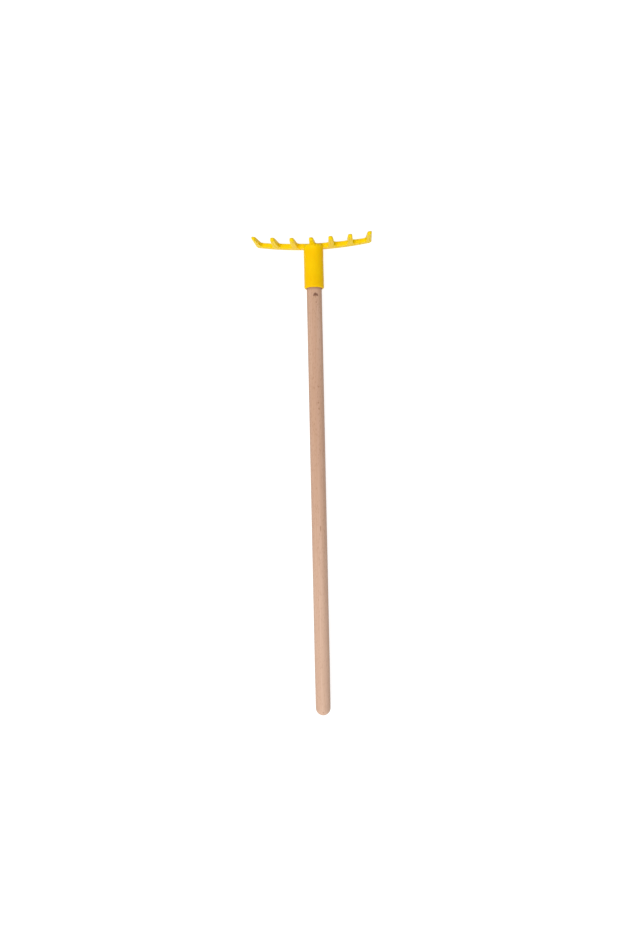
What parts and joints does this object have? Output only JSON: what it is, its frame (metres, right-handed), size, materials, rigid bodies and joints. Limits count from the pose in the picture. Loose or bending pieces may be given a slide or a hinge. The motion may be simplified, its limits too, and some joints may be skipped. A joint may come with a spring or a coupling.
{
  "type": "sand rake",
  "caption": "Long-handled children's sand rake: a one-piece moulded plastic head with a toothed bar and round socket, screwed on to a plain turned wooden dowel with a rounded end.",
  "frame": {"origin": "on the dowel's axis, at the mouth of the head's socket", "axes": "+Y runs along the dowel from the socket's mouth towards the toothed bar, so the dowel's free end is at -Y; +Z points the way the teeth stand; +X runs along the bar. The rake lies on its back"},
  "size_m": [0.1724, 0.6923, 0.0539],
  "materials": {
    "yellow_plastic": "moulded polypropylene, satin with a soft shine",
    "beech": "fine-sanded, raw",
    "zinc_steel": "bright zinc plate"
  },
  "bodies": {
    "root": {"rake_head": "yellow_plastic", "handle": "beech", "fixing_screw": "zinc_steel"}
  },
  "joints": []
}
